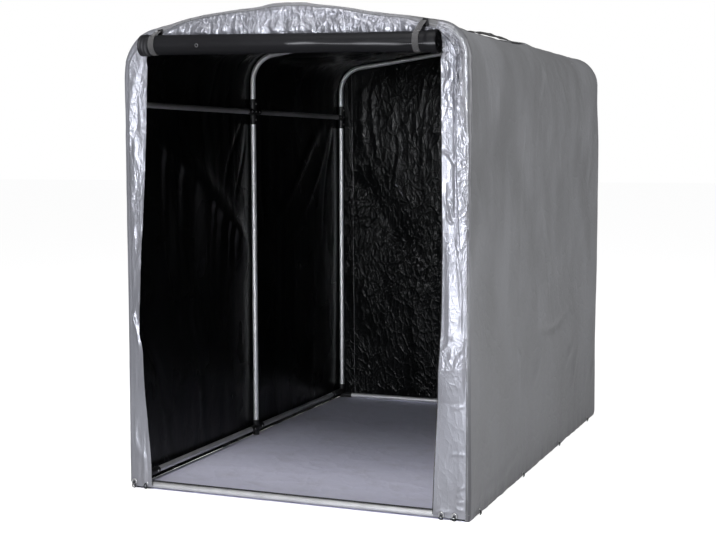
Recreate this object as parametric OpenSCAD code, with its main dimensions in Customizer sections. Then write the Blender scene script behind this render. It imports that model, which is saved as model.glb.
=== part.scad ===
// Bike shelter: a bent-tube frame in moulded socket joints, under a sewn cover with a rolled-up door.
// The front faces -Y, +X is to the right seen from the front, and the ground is z = 0.

/* [Overall] */
// Outside width of the cover
cover_w = 1500; // [1300:10:1900]
// Outside depth of the cover, front to rear
cover_d = 2300; // [1800:10:3000]
// Height of the ridge on the outside
ridge_h = 2008; // [1800:2:2400]
// Slope of each roof half, in degrees
roof_pitch = 7.6; // [4:0.1:12]
// Outside radius of the rounded eaves
eave_r = 150; // [110:5:200]

/* [Frame tubes] */
// Outside diameter of every frame tube
tube_d = 25.4; // [20:0.2:30]
// Wall of the tube
tube_wall = 1.2; // [0.8:0.1:2]
// Distance from the ridge down to the axis of the side rails
rail_drop = 380; // [330:5:500]
// Height of the axis of the base rails above the ground
base_rail_h = 40; // [34:1:60]

/* [Socket joints] */
// Plastic wall around a tube
socket_wall = 2.5; // [1.5:0.1:4]
// Clearance between a tube and its socket, on each side
tube_gap = 0.15; // [0.05:0.05:0.4]
// Length of a socket arm from the crossing of the axes
arm_l = 62; // [40:1:90]
// Length of the base rail arm of a corner foot
foot_arm_l = 160; // [60:2:200]
// Height of the leg socket of a foot
foot_h = 76; // [66:1:120]
// Thickness of the closed bottom of a foot
foot_floor = 4; // [2:0.5:10]
// Depth of the flat that is cut along the underside of a foot
foot_flat = 1; // [0.5:0.1:1.5]

/* [Cover] */
// Thickness of the cover panels
cover_t = 3; // [2:0.5:5]
// Clearance between the cover and the frame
cover_gap = 0.3; // [0.1:0.1:2]
// Height of the hem above the ground
hem_h = 6; // [4:1:30]
// Distance from the ridge down to the head of the doorway
door_head_drop = 160; // [130:5:220]
// Width of the left flap at its foot
left_flap_foot = 95; // [60:1:160]
// Width of the left flap at its waist
left_flap_waist = 52; // [35:1:160]
// Width of the left flap at its top
left_flap_top = 108; // [60:1:160]
// Width of the right flap at its foot
right_flap_foot = 147; // [60:1:180]
// Width of the right flap at its waist
right_flap_waist = 114; // [35:1:160]
// Width of the right flap at its top
right_flap_top = 120; // [60:1:160]

/* [Rolled-up door] */
// Outside diameter of the roll
roll_d = 84; // [60:1:120]
// Distance from each side of the cover to the end of the roll
roll_inset = 114; // [80:1:200]
// Thickness of the door sheet
door_t = 1.5; // [0.8:0.1:2.5]
// Number of turns in the roll
roll_turns = 10; // [3:1:12]
// Diameter of the open core of the roll
roll_core_d = 20; // [14:1:40]
// Distance from the ridge down to the middle of the roll
roll_drop = 158; // [145:1:200]
// How much lower the right end of the roll hangs than the left
roll_sag = 26; // [0:1:40]

/* [Door straps] */
// Width of the webbing
strap_w = 25; // [15:1:40]
// Thickness of the webbing
strap_t = 1.6; // [1:0.1:3]
// Clearance between the webbing and what it lies on
strap_gap = 0.3; // [0.1:0.1:1]
// Distance from the left side of the cover to the left strap
left_strap_inset = 173; // [150:1:350]
// Distance from the right side of the cover to the right strap
right_strap_inset = 193; // [150:1:350]
// Turn round the eave from the wall up to the loose roof strap, in degrees
roof_strap_turn = 72; // [50:1:78]
// Distance from the roof's front edge to the start of the loose roof strap
roof_strap_start = 330; // [50:5:500]
// Length of the loose roof strap
roof_strap_l = 720; // [300:10:900]
// How far the loose roof strap bows up in its middle
roof_strap_rise = 18; // [10:1:40]

/* [Floor sheet] */
// Thickness of the floor sheet that the frame stands on
floor_t = 2; // [1:0.5:4]

/* [Hidden] */
$fn = 64;
// Overrun of every cut
overrun = 1;
// Gap between the end of a tube and the stop in its socket
seat_gap = 0.2;
// Share of a flap's height at which its inner edge is narrowest
flap_waist_share = 0.4;
// Steps along the inner edge of a flap, a turn of the roll, the bow of a roof strap and a strap loop
edge_steps = 14;
roll_steps = 20;
bow_steps = 16;
loop_steps = 30;

half_w = cover_w / 2;
half_d = cover_d / 2;
tube_r = tube_d / 2;
bore_r = tube_r + tube_gap;
socket_r = bore_r + socket_wall;
// Distance from the crossing of the axes to the stop in a socket
stop_l = bore_r + 2 * socket_wall;
tube_start = stop_l + seat_gap;

// Depth of the frame's axes under the outside of the cover
axis_inset = cover_t + cover_gap + socket_r;
leg_x = half_w - axis_inset;
hoop_y = half_d - axis_inset;
hoop_ys = [-hoop_y, 0, hoop_y];

// Centre that the eave's round surfaces and the bend of the bow share
eave_x = half_w - eave_r;
eave_z = ridge_h - eave_x * tan(roof_pitch) - eave_r / cos(roof_pitch);
bow_r = eave_r - axis_inset;
bow_turn = 90 - roof_pitch;
ridge_axis_z = ridge_h - axis_inset / cos(roof_pitch);
rail_z = ridge_h - rail_drop;
sill_z = floor_t + socket_r - foot_flat;
door_head_z = ridge_h - door_head_drop;

roll_r = roll_d / 2;
roll_l = cover_w - 2 * roll_inset;
roll_y = -half_d - roll_r - strap_t - 2 * strap_gap;
roll_z = ridge_h - roll_drop;
roll_tilt = asin(roll_sag / roll_l);
loop_r = roll_r + strap_gap;

HOOPS = ["front", "middle", "rear"];
SIDES = ["left", "right"];

// Outside height of the roof at a distance from the middle
function roof_z(x) = ridge_h - abs(x) * tan(roof_pitch);

// Smooth step from 0 to 1
function ease(u) = u * u * (3 - 2 * u);

// Width of a flap at a share of its height: eased from foot to waist, then from waist to top
function flap_width(u, foot, waist, top) =
    u < flap_waist_share
    ? foot + (waist - foot) * ease(u / flap_waist_share)
    : waist + (top - waist) * ease((u - flap_waist_share) / (1 - flap_waist_share));

// A point of the rolled sheet after a number of turns, at a depth under its outer face
function roll_point(turn, depth) =
    let (r = roll_core_d / 2 + (roll_r - roll_core_d / 2) * turn / roll_turns - depth)
    [r * cos(360 * turn), r * sin(360 * turn)];

// Left pieces are the mirror image of the right ones
module on_side(s) mirror([s == 0 ? 1 : 0, 0, 0]) children();

// Rear pieces are the mirror image of the front ones
module on_hoop(h) translate([0, hoop_ys[h], 0]) mirror([0, h == 2 ? 1 : 0, 0]) children();

// Draws an outline of X and Z, carried along Y from a start over a length
module along_y(start, l) translate([0, start + l, 0]) rotate([90, 0, 0]) linear_extrude(l) children();

// Draws an outline of Y and Z, carried along X over a length about the origin
module along_x(l) translate([-l / 2, 0, 0]) rotate([90, 0, 90]) linear_extrude(l) children();

module tube_ring() {
    difference() {
        circle(tube_r);
        circle(tube_r - tube_wall);
    }
}

module tube(l) color("silver") linear_extrude(l) tube_ring();

// Tubes along Y between neighbouring hoops, at a place in X and Z
module rails(x, z) {
    for (bay = [0, 1])
        translate([x, hoop_ys[bay] + tube_start, z])
            rotate([-90, 0, 0])
                tube(hoop_ys[bay + 1] - hoop_ys[bay] - 2 * tube_start);
}

module sill(h) {
    translate([-leg_x + tube_start, hoop_ys[h], sill_z])
        rotate([0, 90, 0])
            tube(2 * (leg_x - tube_start));
}

module leg() {
    start = floor_t + foot_floor + seat_gap;
    translate([leg_x, 0, start]) tube(rail_z - tube_start - start);
}

// The bent upper half of a hoop: up from the side joint, round the eave and up the slope to the ridge
module bow() {
    rise = eave_z - rail_z - tube_start;
    slope_l = (eave_x + bow_r * sin(roof_pitch)) / cos(roof_pitch) - tube_start;
    translate([eave_x, 0, eave_z]) {
        translate([bow_r, 0, 0]) rotate([180, 0, 0]) tube(rise);
        color("silver")
            rotate([90, 0, 0])
                rotate_extrude(angle = bow_turn)
                    translate([bow_r, 0]) tube_ring();
        rotate([0, -bow_turn, 0]) translate([bow_r, 0, 0]) tube(slope_l);
    }
}

// A solid arm of a joint and the bore for its tube, along Z from the crossing of the axes
module arm(l) cylinder(h = l, r = socket_r);
module arm_bore(l) translate([0, 0, stop_l]) cylinder(h = l - stop_l + overrun, r = bore_r);

// Socket joint with an arm for each turn in the list
module socket_joint(turns) {
    color("#1c1c1e")
        difference() {
            for (turn = turns) rotate(turn) arm(arm_l);
            for (turn = turns) rotate(turn) arm_bore(arm_l);
        }
}

// The middle joint is a cross and the end joints are tees
module side_joint(h) {
    translate([leg_x, 0, rail_z])
        socket_joint(concat([[0, 0, 0], [180, 0, 0], [-90, 0, 0]], h == 1 ? [[90, 0, 0]] : []));
}

// Two arms down the slopes, and one or two along the ridge from a short hub
module ridge_joint(h) {
    slopes = [[0, 90 + roof_pitch, 0], [0, -90 - roof_pitch, 0]];
    ridges = concat([[-90, 0, 0]], h == 1 ? [[90, 0, 0]] : []);
    translate([0, 0, ridge_axis_z])
        color("#1c1c1e")
            difference() {
                union() {
                    for (turn = concat(slopes, ridges)) rotate(turn) arm(arm_l);
                    rotate([90, 0, 0]) cylinder(h = bore_r, r = socket_r);
                }
                for (turn = concat(slopes, ridges)) rotate(turn) arm_bore(arm_l);
            }
}

// A closed leg socket with arms for the base rails and, at a corner, an arm for the sill
module foot(h) {
    rail_turns = concat([[-90, 0, 0]], h == 1 ? [[90, 0, 0]] : []);
    rail_arm_l = h == 1 ? arm_l : foot_arm_l;
    translate([leg_x, 0, 0])
        color("#1c1c1e")
            difference() {
                union() {
                    translate([0, 0, floor_t]) cylinder(h = foot_h, r = socket_r);
                    translate([0, 0, base_rail_h])
                        for (turn = rail_turns) rotate(turn) arm(rail_arm_l);
                    if (h != 1) translate([0, 0, sill_z]) rotate([0, -90, 0]) arm(arm_l);
                }
                translate([0, 0, floor_t + foot_floor]) cylinder(h = foot_h, r = bore_r);
                translate([0, 0, base_rail_h])
                    for (turn = rail_turns) rotate(turn) arm_bore(rail_arm_l);
                translate([0, 0, sill_z]) rotate([0, -90, 0]) arm_bore(arm_l);
                translate([-arm_l - overrun, -socket_r - overrun, floor_t - socket_r])
                    cube([arm_l + socket_r + 2 * overrun, 2 * (socket_r + overrun), socket_r]);
            }
}

module floor_sheet() {
    x = half_w - cover_t - cover_gap;
    y = half_d - cover_t - cover_gap;
    color("lightgrey") translate([-x, -y, 0]) cube([2 * x, 2 * y, floor_t]);
}

// Outline of the shelter's end, moved in from the outside of the cover, from a foot up to the ridge
module gable(inset, foot) {
    x = half_w - inset;
    r = eave_r - inset;
    slope_start = [eave_x + r * sin(roof_pitch), eave_z + r * cos(roof_pitch)];
    apex = [0, ridge_h - inset / cos(roof_pitch)];
    for (s = [0, 1])
        mirror([s, 0]) {
            polygon([[0, foot], [x, foot], [x, eave_z], slope_start, apex]);
            intersection() {
                translate([eave_x, eave_z]) circle(r);
                translate([eave_x, eave_z]) square(eave_r);
            }
        }
}

module roof_cover() {
    color("silver")
        along_y(-half_d, cover_d)
            difference() {
                gable(0, eave_z);
                gable(cover_t, eave_z - overrun);
            }
}

module wall() {
    color("silver")
        translate([half_w - cover_t, -half_d, hem_h])
            cube([cover_t, cover_d, eave_z - hem_h]);
}

module rear_wall() color("silver") along_y(half_d - cover_t, cover_t) gable(cover_t, hem_h);

module flap(foot, waist, top) {
    flap_h = door_head_z - hem_h;
    inner_edge = [
        for (i = [0:edge_steps])
            let (u = i / edge_steps)
            [half_w - flap_width(u, foot, waist, top), hem_h + u * flap_h]
    ];
    color("silver")
        along_y(-half_d, cover_t)
            intersection() {
                gable(cover_t, hem_h);
                polygon(concat(inner_edge, [[half_w, door_head_z], [half_w, hem_h]]));
            }
}

module front_valance() {
    color("silver")
        along_y(-half_d, cover_t)
            intersection() {
                gable(cover_t, hem_h);
                translate([-half_w, door_head_z]) square([cover_w, door_head_drop]);
            }
}

// Moves to the axis of the roll, which hangs lower on the right
module on_roll() translate([0, roll_y, roll_z]) rotate([0, roll_tilt, 0]) children();

// The door sheet, wound up from its core in a spiral
module door_roll() {
    last = roll_turns * roll_steps;
    outer = [for (i = [0:last]) roll_point(i / roll_steps, 0)];
    inner = [for (i = [last:-1:0]) roll_point(i / roll_steps, door_t)];
    color("#232325") on_roll() along_x(roll_l) polygon(concat(outer, inner));
}

// An arc round the roll, closed by two tangents that meet straight above its back
module loop_outline(r, rise) {
    turn = atan2(rise, loop_r);
    apex = r / cos(turn) * [cos(turn), sin(turn)];
    arc = [
        for (i = [0:loop_steps])
            let (a = 2 * turn + (360 - 2 * turn) * i / loop_steps)
            r * [cos(a), sin(a)]
    ];
    polygon(concat(arc, [apex]));
}

// Webbing round the roll, hung from the front edge of the roof
module strap_loop(x) {
    rise = roof_z(x) - cover_t / cos(roof_pitch) - roll_z + x * tan(roll_tilt) - strap_w / 2 - strap_t;
    color("#55565a")
        on_roll()
            translate([x, 0, 0])
                along_x(strap_w)
                    difference() {
                        loop_outline(loop_r + strap_t, rise);
                        loop_outline(loop_r, rise);
                    }
}

// The loose end of the webbing, bowed up over the eave in a parabola between its two seats
module roof_strap() {
    lower = [
        for (i = [0:bow_steps])
            let (u = i / bow_steps)
            [(u - 0.5) * roof_strap_l, 4 * roof_strap_rise * u * (1 - u)]
    ];
    upper = [for (i = [bow_steps:-1:0]) lower[i] + [0, strap_t]];
    color("#26272a")
        translate([eave_x, -half_d + roof_strap_start + roof_strap_l / 2, eave_z])
            rotate([0, 90 - roof_strap_turn, 0])
                translate([0, 0, eave_r + strap_gap])
                    along_x(strap_w) polygon(concat(lower, upper));
}

module door_strap(s, inset) {
    strap_loop((2 * s - 1) * (half_w - inset));
    on_side(s) roof_strap();
}

for (h = [0:2], s = [0:1]) {
    name = str(HOOPS[h], "_", SIDES[s]);
    on_side(s) on_hoop(h) leg();
    on_side(s) on_hoop(h) bow();
    on_side(s) on_hoop(h) side_joint(h);
    on_side(s) on_hoop(h) foot(h);
}
for (h = [0:2])
    on_hoop(h) ridge_joint(h);
for (s = [0:1]) {
    on_side(s) rails(leg_x, rail_z);
    on_side(s) rails(leg_x, base_rail_h);
    on_side(s) wall();
}
rails(0, ridge_axis_z);  // ridge_rails
sill(0);  // front_sill
sill(2);  // rear_sill
floor_sheet();
roof_cover();
rear_wall();
on_side(0) flap(left_flap_foot, left_flap_waist, left_flap_top);  // front_left_flap
flap(right_flap_foot, right_flap_waist, right_flap_top);  // front_right_flap
front_valance();
door_roll();
door_strap(0, left_strap_inset);  // left_door_strap
door_strap(1, right_strap_inset);  // right_door_strap
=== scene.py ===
import math
import bpy
import numpy as np
from mathutils import Matrix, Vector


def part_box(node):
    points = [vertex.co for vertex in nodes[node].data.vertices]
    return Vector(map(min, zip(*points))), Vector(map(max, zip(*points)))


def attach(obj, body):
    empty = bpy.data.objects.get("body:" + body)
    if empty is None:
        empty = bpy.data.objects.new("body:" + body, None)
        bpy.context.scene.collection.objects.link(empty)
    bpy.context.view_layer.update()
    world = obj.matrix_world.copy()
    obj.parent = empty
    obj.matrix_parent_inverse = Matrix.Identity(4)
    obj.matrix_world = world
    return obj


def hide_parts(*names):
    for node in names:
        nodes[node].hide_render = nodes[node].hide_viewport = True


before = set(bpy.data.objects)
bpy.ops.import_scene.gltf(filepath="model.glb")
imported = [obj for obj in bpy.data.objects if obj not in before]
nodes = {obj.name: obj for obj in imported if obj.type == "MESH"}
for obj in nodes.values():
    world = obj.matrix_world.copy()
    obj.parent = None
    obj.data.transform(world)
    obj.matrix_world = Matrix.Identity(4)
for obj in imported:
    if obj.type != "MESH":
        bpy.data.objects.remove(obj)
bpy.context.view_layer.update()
print("frame loaded,", len(nodes), "CAD nodes")


def boxMiddle(node, axis):
    low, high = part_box(node)
    return (low[axis] + high[axis]) / 2


# Sizes taken from the CAD boxes, in metres; the eave's radius and the pitch repeat the CAD values.
roofLow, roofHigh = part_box("roof_cover")
shell = dict(
    eaveRadius=0.15, pitch=math.radians(7.6),
    corner=0.0225,       # radius of the cover's turn from the sides into the two ends
    ridgeRadius=0.10, thick=0.0009, endThick=0.0008,
)
halfWidth, halfDepth, ridgeZ = roofHigh
eaveZ, hemZ = roofLow.z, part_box("left_wall")[0].z
eaveRadius, pitch = shell["eaveRadius"], shell["pitch"]
eaveX = halfWidth - eaveRadius
legX = boxMiddle("front_right_leg", 0)
hoopY = [boxMiddle(h + "_right_leg", 1) for h in ("front", "middle", "rear")]
railZ, baseZ = boxMiddle("left_side_rails", 2), boxMiddle("left_base_rails", 2)

# Camera solved from the shelter's straight edges: position, turn to the left, tilt and roll.
shot = dict(place=(2.2278, -5.9408, 1.4150), turn=0.384, tilt=-0.087, roll=-0.0028, lens=66.53, sensor=36.0)


def putAt(data, at, right, up, ahead):
    # An object for a camera or light: at a place, looking ahead.
    thing = bpy.data.objects.new(data.name, data)
    thing.matrix_world = Matrix.Translation(at) @ Matrix((right, up, -ahead)).transposed().to_4x4()
    bpy.context.scene.collection.objects.link(thing)
    return thing


def aimCamera():
    c, s = math.cos, math.sin
    turn, tilt, roll = shot["turn"], shot["tilt"], shot["roll"]
    ahead = np.array([-s(turn) * c(tilt), c(turn) * c(tilt), s(tilt)])
    right = np.array([c(turn), s(turn), 0.0])
    up = np.cross(right, ahead)
    data = bpy.data.cameras.new("camera")
    data.lens, data.sensor_width, data.clip_end = shot["lens"], shot["sensor"], 200.0
    right, up = c(roll) * right + s(roll) * up, c(roll) * up - s(roll) * right
    bpy.context.scene.camera = putAt(data, shot["place"], right, up, ahead)


aimCamera()
print("camera set")


def smooth(a, b, x):
    t = np.clip((x - a) / (b - a), 0.0, 1.0)
    return t * t * (3.0 - 2.0 * t)


def fade(a, b, x):
    return 1 - smooth(a, b, x)


def hump(x, centre, width):
    return np.exp(-((x - centre) / width) ** 2)


def openSpan(a, b, n):
    return np.linspace(a, b, n, endpoint=False)


def runLength(points):
    return np.concatenate([[0], np.cumsum(np.linalg.norm(np.diff(points, axis=0), axis=-1))])


def noise(x, y, seed):
    # Value noise from -1 to 1: hashed lattice corners blended with a quintic curve.
    x, y = np.broadcast_arrays(np.asarray(x, float), np.asarray(y, float))
    xi, yi = np.floor(x), np.floor(y)
    fx, fy = x - xi, y - yi
    sx = fx ** 3 * (fx * (fx * 6 - 15) + 10)
    sy = fy ** 3 * (fy * (fy * 6 - 15) + 10)

    def corner(a, b):
        v = np.sin(a * 127.1 + b * 311.7 + seed * 74.7) * 43758.5453
        return v - np.floor(v)

    low = corner(xi, yi) * (1 - sx) + corner(xi + 1, yi) * sx
    high = corner(xi, yi + 1) * (1 - sx) + corner(xi + 1, yi + 1) * sx
    return 2.0 * (low * (1 - sy) + high * sy) - 1.0


def crumple(x, y, seed):
    # Crushed film: three octaves of folded noise on a warped field, crests sharp, about -0.5 to 0.5.
    wx = x + 0.35 * noise(x * 0.7, y * 0.7, seed + 11)
    wy = y + 0.35 * noise(x * 0.7, y * 0.7, seed + 17)
    total, size, weight = 0.0, 1.0, 1.0
    for k in range(3):
        turn = 0.6 + 0.9 * k
        u = (wx * math.cos(turn) - wy * math.sin(turn)) * size
        v = (wx * math.sin(turn) + wy * math.cos(turn)) * size
        total = total + weight * (0.5 - np.abs(noise(u, v, seed + 3 * k)))
        size, weight = size * 1.93, weight * 0.52
    return total


def creaseLine(u, v, start, end, width, taper):
    # A soft fold along a slightly wavy line from start to end: 1 on the line, fading over width and past the ends.
    du, dv = end[0] - start[0], end[1] - start[1]
    length = math.hypot(du, dv)
    along = ((u - start[0]) * du + (v - start[1]) * dv) / length ** 2
    wave = 0.04 * length * np.sin(4 * along + 50 * start[1])
    off = ((u - start[0]) * dv - (v - start[1]) * du) / length + wave
    return hump(off, 0, width) * smooth(-taper, taper, along) * fade(0.95 - taper, 1 + taper, along)


def foldSum(u, v, rows, spread=1.0, taper=0.15):
    # A list's folds added up; a row is from u, v, to u, v, width and height, in millimetres.
    total = 0.0
    for a, b, c, d, width, height in np.array(rows) / 1000:
        total = total + height * creaseLine(u, v, (a, b), (c, d), width * spread, taper)
    return total


def unit(v):
    return v / np.maximum(np.linalg.norm(v, axis=-1, keepdims=True), 1e-12)


def gridNormals(grid):
    return unit(np.cross(np.gradient(grid, axis=0), np.gradient(grid, axis=1)))


def gridFaces(nu, nv, wrapU=False, wrapV=False):
    # Quads of a grid of points numbered row by row; the normal is row direction x column direction.
    i, j = np.meshgrid(np.arange(nu if wrapU else nu - 1), np.arange(nv if wrapV else nv - 1), indexing="ij")
    a, b = (i + 1) % nu, (j + 1) % nv
    return np.stack([i * nv + j, a * nv + j, a * nv + b, i * nv + b], -1).reshape(-1, 4)


def makePiece(name, verts, faces, materials, faceMaterial=None, values=None, uv=None):
    mesh = bpy.data.meshes.new(name)
    verts, faces = np.asarray(verts, float).reshape(-1, 3), np.asarray(faces, int).reshape(-1, 4)
    mesh.vertices.add(len(verts))
    mesh.vertices.foreach_set("co", verts.ravel())
    mesh.loops.add(faces.size)
    mesh.loops.foreach_set("vertex_index", faces.ravel())
    mesh.polygons.add(len(faces))
    mesh.polygons.foreach_set("loop_start", np.arange(len(faces)) * 4)
    if faceMaterial is not None:
        mesh.polygons.foreach_set("material_index", np.asarray(faceMaterial, int))
    mesh.polygons.foreach_set("use_smooth", np.ones(len(faces), bool))
    for m in materials:
        mesh.materials.append(m)
    mesh.update(calc_edges=True)
    if uv is not None:
        corners = np.asarray(uv, float).reshape(-1, 2)[faces.ravel()]
        mesh.uv_layers.new(name="cloth").data.foreach_set("uv", corners.ravel())
    for key, value in (values or {}).items():
        mesh.attributes.new(key, "FLOAT", "POINT").data.foreach_set("value", np.asarray(value, float).ravel())
    mesh.set_sharp_from_angle(angle=math.radians(50))
    piece = bpy.data.objects.new(name, mesh)
    bpy.context.scene.collection.objects.link(piece)
    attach(piece, "root")
    return piece


def sheetPiece(name, grid, thick, materials, values=None, uv=None, outside=1, marked=None, normals=None):
    # A closed two-sided sheet: the grid, a copy moved back by the thickness, and a strip round the free edge.
    nu, nv = grid.shape[:2]
    back = grid - outside * thick * (gridNormals(grid) if normals is None else normals)
    n = nu * nv
    top = gridFaces(nu, nv)
    k = np.arange(n).reshape(nu, nv)
    rim = np.concatenate([k[:, 0], k[-1, 1:], k[-2::-1, -1], k[0, -2::-1]])[::-1]
    rim = np.stack([rim[1:], rim[:-1], rim[:-1] + n, rim[1:] + n], -1)
    faces = np.concatenate([top, top[:, ::-1] + n, rim[:, ::-1]])
    if outside < 0:
        faces = faces[:, ::-1]
    kinds = np.repeat([0, 1, 0], [len(top), len(top), len(rim)])
    if marked is not None:
        kinds[:len(top)] = np.ravel(marked)
    both = {key: np.concatenate([np.ravel(v), np.ravel(v)]) for key, v in (values or {}).items()}
    verts = np.concatenate([grid.reshape(-1, 3), back.reshape(-1, 3)])
    return makePiece(name, verts, faces, materials, kinds, both, np.concatenate([uv.reshape(-1, 2)] * 2))


def finishedAs(piece, slot, *hidden):
    # The piece stands for the CAD nodes that it hides.
    if hidden:
        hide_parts(*hidden)
    return piece


def joinGrids(parts):
    # Several grids' points and faces as one mesh; parts are (grid, wrapU, wrapV).
    verts, faces, base = [], [], 0
    for grid, wrapU, wrapV in parts:
        verts.append(grid.reshape(-1, 3))
        faces.append(gridFaces(grid.shape[0], grid.shape[1], wrapU, wrapV) + base)
        base += grid.shape[0] * grid.shape[1]
    return np.concatenate(verts), np.concatenate(faces)


def sweep(path, radius, sides, side):
    # A round cord: circles square to the path, one end of each axis held to a fixed direction.
    tangent = unit(np.gradient(path, axis=0))
    across = unit(np.cross(tangent, side))
    other = np.cross(across, tangent)
    a = openSpan(0, 2 * np.pi, sides)[:, None]
    return path[:, None] + radius * (np.cos(a) * across[:, None] + np.sin(a) * other[:, None])


def lathe(profile, centre, axis, sides):
    # A turned part: (radius, height) points carried round an axis through a centre.
    axis = unit(np.asarray(axis, float))
    first = unit(np.cross(axis, (0.31, 0.77, 0.56)))
    a = openSpan(0, 2 * np.pi, sides)[:, None]
    ring = np.cos(a) * first + np.sin(a) * np.cross(axis, first)
    profile = np.asarray(profile, float)
    return np.asarray(centre, float) + profile[:, None, :1] * ring[None] + profile[:, None, 1:] * axis


# Node helpers: a node with its inputs set or linked, and the few kinds used most.
def add(tree, kind, inputs=None, **props):
    n = tree.nodes.new(kind)
    for key, value in props.items():
        setattr(n, key, value)
    for key, value in (inputs or {}).items():
        if isinstance(value, bpy.types.NodeSocket):
            tree.links.new(value, n.inputs[key])
        else:
            n.inputs[key].default_value = value
    return n


def maths(tree, operation, a, b=0.0, c=0.0, clamp=False):
    return add(tree, "ShaderNodeMath", {0: a, 1: b, 2: c}, operation=operation, use_clamp=clamp).outputs[0]


def mixColour(tree, factor, a, b):
    return add(tree, "ShaderNodeMix", {0: factor, 6: a, 7: b}, data_type="RGBA").outputs[2]


def cloudy(tree, vector, scale, detail=2.0, rough=0.5):
    inputs = {"Vector": vector, "Scale": scale, "Detail": detail, "Roughness": rough}
    return add(tree, "ShaderNodeTexNoise", inputs).outputs["Fac"]


def ramp(tree, value, stops):
    n = add(tree, "ShaderNodeValToRGB", {0: value})
    for mark, (place, grey) in zip(n.color_ramp.elements, stops):
        mark.position = place
        mark.color = (grey, grey, grey, 1)
    return n.outputs[0]


def attribute(tree, name):
    return add(tree, "ShaderNodeAttribute", None, attribute_name=name).outputs["Fac"]


def objectSpot(tree):
    return add(tree, "ShaderNodeTexCoord").outputs["Object"]


def clothMap(tree):
    return add(tree, "ShaderNodeUVMap", None, uv_map="cloth").outputs[0]


def bump(tree, height, strength, distance, normal=None):
    inputs = {"Height": height, "Strength": strength, "Distance": distance}
    return add(tree, "ShaderNodeBump", dict(inputs, Normal=normal) if normal is not None else inputs).outputs[0]


def place(tree, group, **inputs):
    return add(tree, "ShaderNodeGroup", inputs, node_tree=group).outputs


def newGroup(name, inputs, *outputs):
    # Inputs have a starting value each, or None for a vector that is always linked; outputs are numbers.
    group = bpy.data.node_groups.new(name, "ShaderNodeTree")
    for label, value in inputs.items():
        kind = "NodeSocketFloat" if isinstance(value, float) else "NodeSocketVector"
        socket = group.interface.new_socket(label, in_out="INPUT", socket_type=kind)
        if value is not None:
            socket.default_value = value
    for label in outputs:
        group.interface.new_socket(label, in_out="OUTPUT", socket_type="NodeSocketFloat")
    return group, group.nodes.new("NodeGroupInput").outputs, group.nodes.new("NodeGroupOutput").inputs


def crinkleGroup():
    # Film creases: folded noise at two sizes on a warped field, with a finer grain, as one height.
    g, i, o = newGroup("crinkle", dict(Vector=None, Scale=9.0, Stretch=(1, 1, 1)), "Height", "Patches")
    stretched = add(g, "ShaderNodeVectorMath", {0: i["Vector"], 1: i["Stretch"]}, operation="MULTIPLY").outputs[0]
    warp = add(g, "ShaderNodeTexNoise", {"Vector": stretched, "Scale": 4.0, "Detail": 2.0}).outputs
    warped = add(g, "ShaderNodeVectorMath", {0: warp["Color"], 1: (0.16, 0.16, 0.16), 2: stretched},
                 operation="MULTIPLY_ADD").outputs[0]

    def ridges(scale):
        edges = add(g, "ShaderNodeTexVoronoi", {"Vector": warped, "Scale": scale}, feature="DISTANCE_TO_EDGE")
        near = maths(g, "SUBTRACT", 1.0, maths(g, "MULTIPLY", edges.outputs["Distance"], 2.4), clamp=True)
        return maths(g, "POWER", near, 3.0)

    grain = cloudy(g, warped, maths(g, "MULTIPLY", i["Scale"], 3.1), 4.0, 0.6)
    small = maths(g, "MULTIPLY", ridges(maths(g, "MULTIPLY", i["Scale"], 2.7)), 0.4)
    total = maths(g, "ADD", ridges(i["Scale"]), small)
    g.links.new(maths(g, "MULTIPLY_ADD", grain, 0.8, total), o["Height"])
    g.links.new(warp["Fac"], o["Patches"])
    return g


def weaveGroup():
    # Plain weave of flat tapes: two crossed rows of rounded bars, from lengths along the cloth.
    g, i, o = newGroup("tapeWeave", dict(Vector=None, Pitch=0.0025), "Height")
    parts = add(g, "ShaderNodeSeparateXYZ", {0: i["Vector"]}).outputs
    turns = maths(g, "DIVIDE", math.pi, i["Pitch"])
    a, b = (maths(g, "ABSOLUTE", maths(g, "SINE", maths(g, "MULTIPLY", parts[k], turns))) for k in (0, 1))
    g.links.new(maths(g, "MULTIPLY", a, b), o["Height"])
    return g


def stitchGroup():
    # Dashes of thread: on where the distance to the seam is small and the length along it is within a stitch.
    g, i, o = newGroup("stitchRow", dict(Distance=1.0, Along=0.0, Pitch=0.007, Width=0.0012), "Mask")
    near = maths(g, "LESS_THAN", maths(g, "ABSOLUTE", i["Distance"]), i["Width"])
    step = maths(g, "FRACT", maths(g, "DIVIDE", i["Along"], i["Pitch"]))
    g.links.new(maths(g, "MULTIPLY", near, maths(g, "LESS_THAN", step, 0.68)), o["Mask"])
    return g


def dustGroup():
    # Splash and dust near the ground: strong at the hem, broken up by noise, gone above the reach.
    g, i, o = newGroup("groundDust", dict(Vector=None, Reach=0.3), "Mask")
    height = add(g, "ShaderNodeSeparateXYZ", {0: i["Vector"]}).outputs[2]
    low = maths(g, "SUBTRACT", 1.0, maths(g, "DIVIDE", height, i["Reach"]), clamp=True)
    spots = cloudy(g, i["Vector"], 22.0, 6.0, 0.65)
    g.links.new(maths(g, "MULTIPLY", maths(g, "POWER", low, 2.0), spots), o["Mask"])
    return g


crinkleNodes, weaveNodes, stitchNodes, dustNodes = crinkleGroup(), weaveGroup(), stitchGroup(), dustGroup()


def newMaterial(name, **sockets):
    m = bpy.data.materials.new(name)
    m.use_nodes = True
    t = m.node_tree
    t.nodes.clear()
    shader = add(t, "ShaderNodeBsdfPrincipled", sockets)
    t.links.new(shader.outputs[0], add(t, "ShaderNodeOutputMaterial").inputs[0])
    return m, t, shader.inputs


def painted(m, t, s, colour, rough, normal):
    for key, value in (("Base Color", colour), ("Roughness", rough), ("Normal", normal)):
        t.links.new(value, s[key])
    return m


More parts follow.
